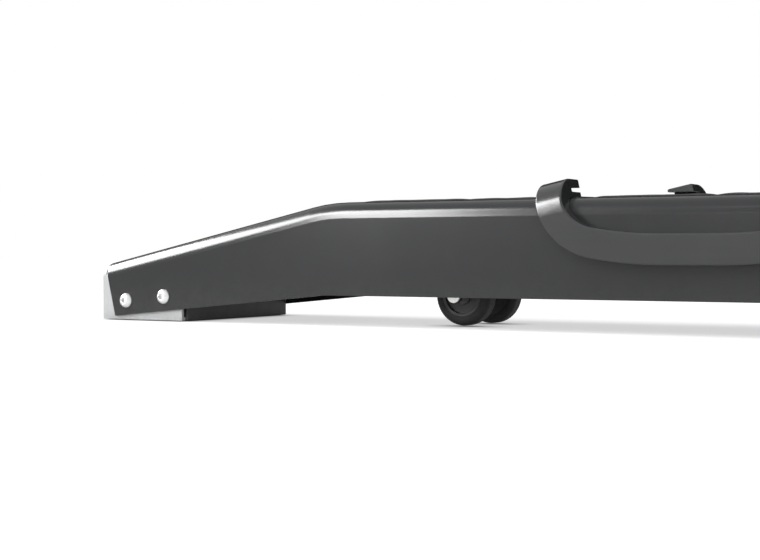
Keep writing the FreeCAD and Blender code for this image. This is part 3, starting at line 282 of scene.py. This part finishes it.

# %% [markdown]
# ## Charcoal powder coat
#
# The beams and their cross tubes are dark charcoal with a soft gloss.  Powder coat flows into a
# faint orange peel, which spreads each reflection a little.  The bare look of a single grey is
# avoided with slow clouds, a lighter tint along the lower edge that is partly dust and partly
# painted light from the floor, and a slightly lighter line along every edge that is partly rubbed
# paint and partly a painted highlight.

# %% Finish: powder coat
def powder_coat(name, dark, light, smooth, rough, peel):
    material, tree, shader = start_material(name, Specular_IOR_Level=0.36)
    edges = place_group(tree, soft_edge, Radius=0.0008)
    marks = place_group(tree, grain_and_clouds, Grain_Scale=620.0, Cloud_Scale=9.0)
    paint = shade(tree, marks.outputs["Clouds"], dark, light)
    # Edges turn lighter in colour: partly rubbed paint, partly a painted highlight.
    wear_and_highlight = tuple(1.9 * c for c in light) + (1,)
    with_wear_and_highlight = blend_colours(tree, edges.outputs["Edge"], paint, wear_and_highlight)
    # Lighter towards the floor: partly dust, partly painted light from the floor.
    tinted_low = place_group(
        tree, dust_and_floor_light, Colour=with_wear_and_highlight, Dust=(0.09, 0.088, 0.085, 1), Top=0.075, Amount=0.32
    )
    normal = bumped(tree, marks.outputs["Grain"], peel, edges.outputs["Normal"])
    feed(
        tree,
        shader,
        Base_Color=tinted_low.outputs["Colour"],
        Roughness=gloss(tree, marks.outputs["Clouds"], smooth, rough),
        Normal=normal,
    )
    return material


frame_paint = powder_coat(
    "frame_paint", (0.0195, 0.0205, 0.0215), (0.0235, 0.0245, 0.0255), 0.17, 0.21, 0.00002
)
inner_steel = powder_coat(
    "inner_steel", (0.020, 0.020, 0.021), (0.034, 0.034, 0.035), 0.38, 0.5, 0.00012
)
print(frame_paint.name, inner_steel.name)

# %% [markdown]
# ## Moulded plastics
#
# The end blocks are light grey plastic with a matt mould texture and faint flow lines along the
# board.  The grips are the same kind of material in charcoal, polished enough to show a window of
# light.  Hubs are plain black.  One function makes all three; each gives its own colours and depth.

# %% Finish: moulded plastic
def moulded_plastic(name, dark, light, smooth, rough, depth, low_tint, top, amount):
    material, tree, shader = start_material(name, Specular_IOR_Level=0.5)
    edges = place_group(tree, soft_edge, Radius=0.0012)
    marks = place_group(tree, grain_and_clouds, Grain_Scale=1500.0, Cloud_Scale=16.0)
    where = add(tree, "TexCoord").outputs["Object"]
    along = add(tree, "Mapping", {"Vector": where, "Scale": (2.0, 9.0, 60.0)})
    flow = add(tree, "TexNoise", {"Vector": along.outputs[0], "Scale": 3.0, "Detail": 5.0})
    both = blend(tree, 0.4, marks.outputs["Clouds"], flow.outputs["Fac"])
    # Edges turn lighter in colour: partly worn plastic, partly a painted highlight.
    wear_and_highlight = tuple(min(1.25 * c, 0.8) for c in light) + (1,)
    with_wear_and_highlight = blend_colours(tree, edges.outputs["Edge"], shade(tree, both, dark, light), wear_and_highlight)
    # Towards the floor the given tint is blended in: darker on the blocks, lighter on the grips and
    # hubs.
    tinted_low = place_group(tree, dust_and_floor_light, Colour=with_wear_and_highlight, Dust=low_tint, Top=top, Amount=amount)
    normal = bumped(tree, marks.outputs["Grain"], depth, edges.outputs["Normal"])
    feed(
        tree,
        shader,
        Base_Color=tinted_low.outputs["Colour"],
        Roughness=gloss(tree, both, smooth, rough),
        Normal=normal,
    )
    return material


block_plastic = moulded_plastic(
    "block_plastic", (0.53, 0.54, 0.55), (0.60, 0.61, 0.62), 0.42, 0.55, 0.00005,
    (0.22, 0.21, 0.19, 1), 0.02, 0.45,
)
grip_plastic = moulded_plastic(
    "grip_plastic", (0.024, 0.025, 0.026), (0.029, 0.030, 0.031), 0.18, 0.23, 0.00001,
    (0.09, 0.088, 0.085, 1), 0.02, 0.1,
)
hub_plastic = moulded_plastic(
    "hub_plastic", (0.018, 0.018, 0.019), (0.028, 0.028, 0.029), 0.38, 0.5, 0.00004,
    (0.13, 0.12, 0.11, 1), 0.07, 0.3,
)
print(block_plastic.name, grip_plastic.name, hub_plastic.name)

# %% [markdown]
# ## Rubber
#
# The treads, the feet, the stops and the sleeves are black rubber, and so are the solid tyres.
# Rubber has a deep black, a dull sheen and a pebbled skin.  A tyre also has fine turning marks
# round it, so its texture is stretched across the tread.  Towards the floor the rubber turns a
# shade lighter, partly dust and partly painted light from the floor.

# %% Finish: rubber
def black_rubber(name, pebble, depth, ring_marks, amount):
    material, tree, shader = start_material(name, Specular_IOR_Level=0.35)
    edges = place_group(tree, soft_edge, Radius=0.0010)
    marks = place_group(tree, grain_and_clouds, Grain_Scale=pebble, Cloud_Scale=20.0)
    height = marks.outputs["Grain"]
    if ring_marks:
        where = add(tree, "TexCoord").outputs["Object"]
        turning = {"Scale": 260.0, "Distortion": 1.2, "Detail": 2.0, "Detail Scale": 3.0}
        wave = add(tree, "TexWave", {"Vector": where, **turning}, bands_direction="Y")
        height = blend(tree, 0.5, height, wave.outputs["Fac"])
    colour = shade(tree, marks.outputs["Clouds"], (0.012, 0.012, 0.013), (0.022, 0.022, 0.022))
    # Lighter towards the floor: partly dust, partly painted light from the floor.
    tinted_low = place_group(
        tree, dust_and_floor_light, Colour=colour, Dust=(0.11, 0.105, 0.1, 1), Top=0.09, Amount=amount
    )
    feed(
        tree,
        shader,
        Base_Color=tinted_low.outputs["Colour"],
        Roughness=gloss(tree, marks.outputs["Clouds"], 0.55, 0.75),
        Normal=bumped(tree, height, depth, edges.outputs["Normal"]),
    )
    return material


rubber = black_rubber("rubber", 700.0, 0.0002, False, 0.25)
tyre = black_rubber("tyre", 900.0, 0.00012, True, 0.3)
print(rubber.name, tyre.name)

# %% [markdown]
# ## Bright zinc
#
# Screws, pins and the hinge are zinc-plated: a bright metal with a faint blue and yellow cast that
# wanders over it, and fine scratches from the spanner.  The metal is uniform, so Metallic stays a
# plain value; the cast and the scratches are in the colour, the roughness and the bump.

# %% Finish: zinc plate
zinc_steel, tree, shader = start_material("zinc_steel", Metallic=1.0)
edges = place_group(tree, soft_edge, Radius=0.0006)
marks = place_group(tree, grain_and_clouds, Grain_Scale=2400.0, Cloud_Scale=70.0)
where = add(tree, "TexCoord").outputs["Object"]
stretched = add(tree, "Mapping", {"Vector": where, "Scale": (900.0, 900.0, 60.0)})
scratches = add(tree, "TexNoise", {"Vector": stretched.outputs[0], "Scale": 1.0, "Detail": 3.0})
plating = shade(tree, marks.outputs["Clouds"], (0.66, 0.68, 0.71), (0.80, 0.79, 0.76))
feed(
    tree,
    shader,
    Base_Color=plating,
    Roughness=gloss(tree, scratches.outputs["Fac"], 0.24, 0.38),
    Normal=bumped(tree, marks.outputs["Grain"], 0.00001, edges.outputs["Normal"]),
)
print(zinc_steel.name)

# %% [markdown]
# ## Upholstery cover
#
# The deck is covered in black coated cloth, as such equipment is, because it has to be wiped clean.
# Its grain is a net of small rounded cells with creases between them.  A Voronoi texture gives the
# cells, and its distance to the cell edge gives the crease depth.  The same mask also makes the
# creases darker in colour, which is painted shade.

# %% Finish: coated cloth
pad_cover, tree, shader = start_material("pad_cover", Specular_IOR_Level=0.4)
marks = place_group(tree, grain_and_clouds, Grain_Scale=1800.0, Cloud_Scale=14.0)
where = add(tree, "TexCoord").outputs["Object"]
cells = add(tree, "TexVoronoi", {"Vector": where, "Scale": 620.0}, feature="DISTANCE_TO_EDGE")
crease_depth_and_shade = remap(tree, cells.outputs["Distance"], 0.0, 0.22)
# This mask gives the grain's height and also darkens the creases: painted shade.
skin_height_and_shade = blend(tree, 0.25, crease_depth_and_shade, marks.outputs["Grain"])
straight = add(tree, "NewGeometry").outputs["Normal"]
feed(
    tree,
    shader,
    Base_Color=shade(tree, skin_height_and_shade, (0.012, 0.012, 0.013), (0.030, 0.030, 0.032), 0.1, 0.9),
    Roughness=gloss(tree, marks.outputs["Clouds"], 0.42, 0.56),
    Normal=bumped(tree, skin_height_and_shade, 0.00022, straight),
)
print(pad_cover.name)

# %% [markdown]
# ## Giving each piece its finish
#
# The record names a material slot for every node, so the table is already there.  The meshes stay
# as they are; only their material slots change.

# %% Dress the CAD pieces
finishes = {
    made.name: made
    for made in (
        frame_paint, inner_steel, block_plastic, grip_plastic, hub_plastic,
        rubber, tyre, zinc_steel, pad_cover,
    )
}
slots = [part["material_slot"] for part in frame["record"]["subparts"]]
for part in frame["record"]["subparts"]:
    piece = nodes[part["node"]]
    piece.data.materials.clear()
    piece.data.materials.append(finishes[part["material_slot"]])
print({name: slots.count(name) for name in finishes})

# %% [markdown]
# ## The padded cover
#
# The deck's top is foam under a sewn cover.  A block with rounded edges would look like plastic.
# Instead we take a slightly smaller copy of the CAD pad, remesh it finely, and blow it up a little
# as cloth under pressure, so that the top crowns and the sides pull in between the corners.  The
# amount is capped, and the underside is pressed flat again, because it lies on the steel tray.

# %% Cover: inflate a smaller copy
pad_low, pad_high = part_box("deck_pad")
voxel = 0.005
shrink = 0.0018
swell_cap = 0.0035
pressure = 4
stretch_stiffness = 25
settling_frames = 20


def remeshed_copy(source, name):
    """A fine, evenly meshed and slightly smaller copy of a piece."""
    made = source.copy()
    made.data = source.data.copy()
    made.name = name
    made.parent = None
    bpy.context.scene.collection.objects.link(made)
    for kind, settings in (
        ("REMESH", {"mode": "VOXEL", "voxel_size": voxel, "use_smooth_shade": True}),
        ("DISPLACE", {"strength": -shrink, "mid_level": 0.0}),
    ):
        step = made.modifiers.new(kind.lower(), kind)
        for key, value in settings.items():
            setattr(step, key, value)
    apply_modifiers(made)
    return made


def apply_modifiers(piece):
    """Turn what the modifiers show into the piece's own mesh."""
    bpy.context.view_layer.update()
    shown = piece.evaluated_get(bpy.context.evaluated_depsgraph_get())
    settled = bpy.data.meshes.new_from_object(shown)
    piece.modifiers.clear()
    piece.data = settled


cover = remeshed_copy(nodes["deck_pad"], "deck_cover")
flat = [vertex.co.copy() for vertex in cover.data.vertices]
cloth = cover.modifiers.new("cloth", "CLOTH")
cloth.settings.use_pressure = True
cloth.settings.uniform_pressure_force = pressure
cloth.settings.effector_weights.gravity = 0
cloth.settings.tension_stiffness = stretch_stiffness
for frame_number in range(1, settling_frames + 1):
    bpy.context.scene.frame_set(frame_number)
apply_modifiers(cover)
bpy.context.scene.frame_set(1)
print(len(flat), "points in the cover")

# %% [markdown]
# The cap keeps every point near where the CAD pad has it.  Then the cross channels are sewn down:
# each is a shallow valley, and the crown between two valleys is what makes the cover look stuffed.

# %% Cover: cap, press and sew
channel_count = 5
channel_pitch = (pad_high.x - pad_low.x) / (channel_count + 1)
channel_places = [pad_low.x + channel_pitch * (n + 1) for n in range(channel_count)]
channel_width = 0.007
channel_depth = 0.0045
crown = 0.003
wrinkle_depth = 0.0007
wrinkles_along, wrinkles_across = 38, 24
outer_y = pad_high.y


def sewn(point):
    """How far a point of the cover's top sinks into the nearest channel."""
    nearest = min(abs(point.x - place) for place in channel_places)
    return channel_depth * math.exp(-((nearest / channel_width) ** 2))


for vertex, start in zip(cover.data.vertices, flat):
    moved = vertex.co - start
    if moved.length > swell_cap:
        moved *= swell_cap / moved.length
    point = start + moved
    upper = max(0.0, (point.z - pad_low.z) / (pad_high.z - pad_low.z))
    inward = max(0.0, 1 - (point.y / outer_y) ** 2)
    point.z += upper * (crown * inward - sewn(point) * min(1.0, 3 * inward))
    wrinkle = noise.noise(Vector((point.x * wrinkles_along, point.y * wrinkles_across, 0)))
    point.z += upper * wrinkle_depth * wrinkle
    point.z = max(point.z, pad_low.z)
    vertex.co = point
finer = cover.modifiers.new("finer", "SUBSURF")
finer.levels = finer.render_levels = 1
apply_modifiers(cover)
for polygon in cover.data.polygons:
    polygon.use_smooth = True
cover.data.materials.clear()
cover.data.materials.append(pad_cover)
print("cover top at", round(1000 * max(v.co.z for v in cover.data.vertices), 1), "mm")

# %% [markdown]
# ## Piping and stitches
#
# A welt of piping runs round the cover where the top is sewn to the sides, and a row of stitches
# lies in every channel.  The piping is a curve with a round section, laid round the outline of the
# CAD pad, notches and all.  Each stitch is a short, slightly domed thread.

# %% Piping round the top
def notch_places(side):
    """Where the notches of one side start and end, read from the pad's own corners."""
    return sorted({
        round(v.co.x, 5)
        for v in nodes["deck_pad"].data.vertices
        if v.co.z < pad_low.z + 1e-5 and side * v.co.y > 0.01
    })


inner_y = min(
    round(abs(v.co.y), 5) for v in nodes["deck_pad"].data.vertices if v.co.z < pad_low.z + 1e-5
)
piping_inset = 0.0042
piping_radius = 0.0019
piping_lift = 0.0006
piping_below_top = 0.001
corner_radius = 0.006


def piping_side(side):
    """One long side of the loop, from the left end to the right, dipping in at both notches."""
    start, a, b, c, d, end = notch_places(side)
    y_out, y_in = side * (outer_y - piping_inset), side * (inner_y - piping_inset)
    points = [(start + piping_inset, y_out)]
    for first, last in ((a, b), (c, d)):
        first, last = first - piping_inset, last + piping_inset
        points += [(first, y_out), (first, y_in), (last, y_in), (last, y_out)]
    return points + [(end - piping_inset, y_out)]


def rounded_loop(points, radius, steps=5):
    """The loop's points with each corner turned on an arc."""
    result = []
    for n, corner in enumerate(points):
        here = Vector(corner)
        before = (Vector(points[n - 1]) - here).normalized()
        after = (Vector(points[(n + 1) % len(points)]) - here).normalized()
        for k in range(steps + 1):
            t = k / steps
            result.append(here + before * radius * (1 - t) ** 2 + after * radius * t**2)
    return result


def surface_height(x, y):
    """Height of the cover's top at a place."""
    hit, spot, _, _ = cover.ray_cast(Vector((x, y, 0.3)), Vector((0, 0, -1)))
    return spot.z if hit else pad_high.z - 0.002


def tube(name, points, radius, material):
    """A smooth round welt that runs through the points and closes on itself."""
    line = bpy.data.curves.new(name, "CURVE")
    line.dimensions = "3D"
    line.bevel_depth = radius
    line.bevel_resolution = 3
    spline = line.splines.new("POLY")
    spline.points.add(len(points) - 1)
    for spot, point in zip(spline.points, points):
        spot.co = (*point, 1)
    spline.use_cyclic_u = True
    made = bpy.data.objects.new(name, line)
    bpy.context.scene.collection.objects.link(made)
    line.materials.append(material)
    return made


loop = []
for spot in rounded_loop(piping_side(1) + piping_side(-1)[::-1], corner_radius):
    level = surface_height(spot.x, spot.y) + piping_lift
    loop.append((spot.x, spot.y, min(level, pad_high.z - piping_below_top)))
piping = tube("cover_piping", loop, piping_radius, pad_cover)
print(len(loop), "points in the piping")

# %% Stitches in the channels
stitch_length = 0.0042
stitch_pitch = 0.0062
thread_radius = 0.00045
row_inset = 0.014

thread, tree, shader = start_material("thread", Sheen_Weight=0.3)
marks = place_group(tree, grain_and_clouds, Grain_Scale=5200.0, Cloud_Scale=300.0)
straight = add(tree, "NewGeometry").outputs["Normal"]
feed(
    tree,
    shader,
    Base_Color=shade(tree, marks.outputs["Clouds"], (0.05, 0.05, 0.052), (0.09, 0.09, 0.092)),
    Roughness=gloss(tree, marks.outputs["Clouds"], 0.6, 0.8),
    Normal=bumped(tree, marks.outputs["Grain"], 0.00008, straight),
)


def stitch_rows():
    """Both ends of every stitch, seen from above."""
    half = Vector((0, stitch_length / 2, 0))
    count = int((2 * (outer_y - row_inset)) / stitch_pitch)
    for place in channel_places:
        for n in range(count):
            middle = Vector((place, -outer_y + row_inset + (n + 0.5) * stitch_pitch, 0))
            yield middle - half, middle + half


sewing = bmesh.new()
ring_steps, thread_steps = 6, 4
stitch_total = 0
for first, last in stitch_rows():
    stitch_total += 1
    rings = []
    for k in range(thread_steps + 1):
        t = k / thread_steps
        spot = first.lerp(last, t)
        spot.z = surface_height(spot.x, spot.y) - 0.0002 + 0.0005 * math.sin(math.pi * t)
        size = thread_radius * (0.55 + 0.45 * math.sin(math.pi * t))
        rings.append([
            sewing.verts.new(spot + Vector((math.cos(a) * size, 0, math.sin(a) * size)))
            for a in (2 * math.pi * n / ring_steps for n in range(ring_steps))
        ])
    for here, there in zip(rings, rings[1:]):
        for n in range(ring_steps):
            m = (n + 1) % ring_steps
            sewing.faces.new((here[n], there[n], there[m], here[m]))
    sewing.faces.new(rings[0])
    sewing.faces.new(rings[-1][::-1])
mesh = bpy.data.meshes.new("cover_stitches")
bmesh.ops.recalc_face_normals(sewing, faces=sewing.faces)
sewing.to_mesh(mesh)
sewing.free()
mesh.materials.append(thread)
stitches = bpy.data.objects.new("cover_stitches", mesh)
bpy.context.scene.collection.objects.link(stitches)
for polygon in mesh.polygons:
    polygon.use_smooth = True
print(stitch_total, "stitches")

# %% The cover takes the CAD pad's place
for piece in (cover, piping, stitches):
    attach(piece, "deck")
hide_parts("deck_pad")
print("cover, piping and stitches ride on the deck")

# %% [markdown]
# ## Floor and background
#
# The photograph's background is plain white, with only a soft grey shadow under the board.  A white
# floor under plain light would come out pale grey, so its material gives off a little light to the
# camera and to reflections.  The rest of its brightness is real light, which the board can shade.
# Where the board stands on the floor an ambient occlusion mask fades the glow as well, so that the
# contact stays dark: a painted contact shadow.

# %% Stage helpers
def sheet(name, half, cuts):
    """A flat square mesh that reaches half its side in each direction."""
    grid = bmesh.new()
    bmesh.ops.create_grid(grid, x_segments=cuts, y_segments=cuts, size=half)
    made = bpy.data.objects.new(name, bpy.data.meshes.new(name))
    grid.to_mesh(made.data)
    grid.free()
    bpy.context.scene.collection.objects.link(made)
    return made


def matt_finish(name, dark, light, roughness):
    """A matt grey with slow clouds, for the floor and the card."""
    material, tree, shader = start_material(name, Roughness=roughness, Specular_IOR_Level=0.0)
    marks = place_group(tree, grain_and_clouds, Grain_Scale=300.0, Cloud_Scale=2.0)
    feed(tree, shader, Base_Color=shade(tree, marks.outputs["Clouds"], (dark,) * 3, (light,) * 3))
    return material, tree, shader


def seen_rays(tree):
    """One for the rays by which the camera or a reflection sees a surface, else zero."""
    rays = add(tree, "LightPath")
    seen = rays.outputs["Is Camera Ray"]
    for label in ("Is Glossy Ray", "Is Transmission Ray"):
        seen = add(tree, "Math", {0: seen, 1: rays.outputs[label]}, operation="MAXIMUM").outputs[0]
    return seen


print("stage helpers ready")

# %% Floor
floor_half_side = 14
floor_drop = 0.0005
glow_strength = 0.62
contact_shade_reach = 0.035

floor = sheet("floor", floor_half_side, 8)
floor.location.z = -floor_drop
floor_finish, tree, shader = matt_finish("floor_finish", 0.52, 0.54, 0.9)
# Ambient occlusion dims the glow near the board: a painted contact shadow.
contact_shade = add(tree, "AmbientOcclusion", {"Distance": contact_shade_reach}, samples=16)
glow = add(tree, "Emission", {"Color": contact_shade.outputs["Color"], "Strength": glow_strength})
plain = add(tree, "Emission", {"Color": (1, 1, 1, 1), "Strength": 0.0})
lit = add(tree, "MixShader", {0: seen_rays(tree), 1: plain.outputs[0], 2: glow.outputs[0]})
total = add(tree, "AddShader", {0: shader.outputs[0], 1: lit.outputs[0]})
tree.links.new(total.outputs[0], tree.nodes["Material Output"].inputs["Surface"])
floor.data.materials.append(floor_finish)
print("floor", round(floor.dimensions.x), "m across")

# %% World
world = bpy.data.worlds.new("studio")
bpy.context.scene.world = world
world.use_nodes = True
tree = world.node_tree
tree.nodes.clear()
soft = add(tree, "Background", {"Color": (1, 1, 1, 1), "Strength": 0.42})
white = add(tree, "Background", {"Color": (1, 1, 1, 1), "Strength": 1.0})
choice = add(tree, "MixShader", {0: seen_rays(tree), 1: soft.outputs[0], 2: white.outputs[0]})
add(tree, "OutputWorld", {"Surface": choice.outputs[0]})
print("world ready")

# %% [markdown]
# ## Studio light
#
# A very soft sun shines from above and a softbox stands in front, so that a colour renders about
# as it is written.  The long highlight on the beams' rounded edge is the mirror image of a tall
# softbox to the left, and on the slope of a wide one further round.  These, and two thin strips,
# are seen only in reflections, so they shape the gloss without making the board brighter.

# %% Lights
def softbox(name, place, aim, width, height, radiance, reflection_only=False):
    """A rectangular light of a given radiance, turned towards a point."""
    lamp = bpy.data.lights.new(name, "AREA")
    lamp.shape = "RECTANGLE"
    lamp.size, lamp.size_y = width, height
    lamp.energy = radiance * math.pi * width * height
    made = bpy.data.objects.new(name, lamp)
    bpy.context.scene.collection.objects.link(made)
    made.location = place
    made.rotation_euler = (Vector(aim) - Vector(place)).to_track_quat("-Z", "Y").to_euler()
    made.visible_camera = False
    if reflection_only:
        made.visible_diffuse = False
    else:
        made.visible_glossy = False
    return made


sky = bpy.data.lights.new("soft_sun", "SUN")
sky.energy = 2.1
sky.angle = math.radians(75)
sun = bpy.data.objects.new("soft_sun", sky)
bpy.context.scene.collection.objects.link(sun)
sun.rotation_euler = (math.radians(28), math.radians(-12), 0)
sun.visible_glossy = False
softbox("front", (0.3, -3.0, 1.3), (-0.4, 0, 0.1), 2.4, 1.6, 2.6)
beam_face_y, beam_edge_z = -0.135, 0.15
mirror_distance = 2.5


def mirror_box(name, x, turn, rise, wide, high, radiance, roll=0.0):
    """A softbox seen only in reflections, placed and sized by the angles that the beam sees.

    Seen from the beam at x, it is turned left of straight ahead and raised, all in degrees."""
    turn, rise = math.radians(turn), math.radians(rise)
    level = math.cos(rise)
    away = Vector((-math.sin(turn) * level, -math.cos(turn) * level, math.sin(rise)))
    target = Vector((x, beam_face_y, beam_edge_z))
    made = softbox(
        name,
        target + away * mirror_distance,
        target,
        2 * mirror_distance * math.tan(math.radians(wide / 2)),
        2 * mirror_distance * math.tan(math.radians(high / 2)),
        radiance,
        reflection_only=True,
    )
    made.rotation_euler = (
        made.rotation_euler.to_quaternion() @ Quaternion((0, 0, 1), math.radians(roll))
    ).to_euler()
    return made


mirror_box("tall_box", -0.42, 36, 26, 12, 40, 30.0, roll=17.5)
mirror_box("side_box", -0.73, 72, 33, 55, 20, 26.0)
mirror_box("low_strip", 0.1, 14, 6, 16, 2.5, 5.0)
mirror_box("high_strip", 0.1, 16, 36, 14, 3, 3.0)
print("five softboxes")

# %% [markdown]
# A black card stands behind the board, seen only in reflections.  Without it, the top edge would
# mirror the white background and the dark line along it would be lost.

# %% Black card
card = sheet("black_card", 1.0, 2)
card.scale = (4.0, 1.1, 1.0)
card.location = (-1.2, 2.2, 1.1)
card.rotation_euler = (math.radians(90), 0, 0)
card.data.materials.append(matt_finish("card_finish", 0.01, 0.02, 1.0)[0])
card.visible_camera = card.visible_diffuse = False
card.visible_shadow = card.visible_transmission = False
print("card", [round(v, 1) for v in card.location])

# %% [markdown]
# ## Finish
#
# The dressed model has to stay inside the CAD model's box.

# %% Finish
print("finished")
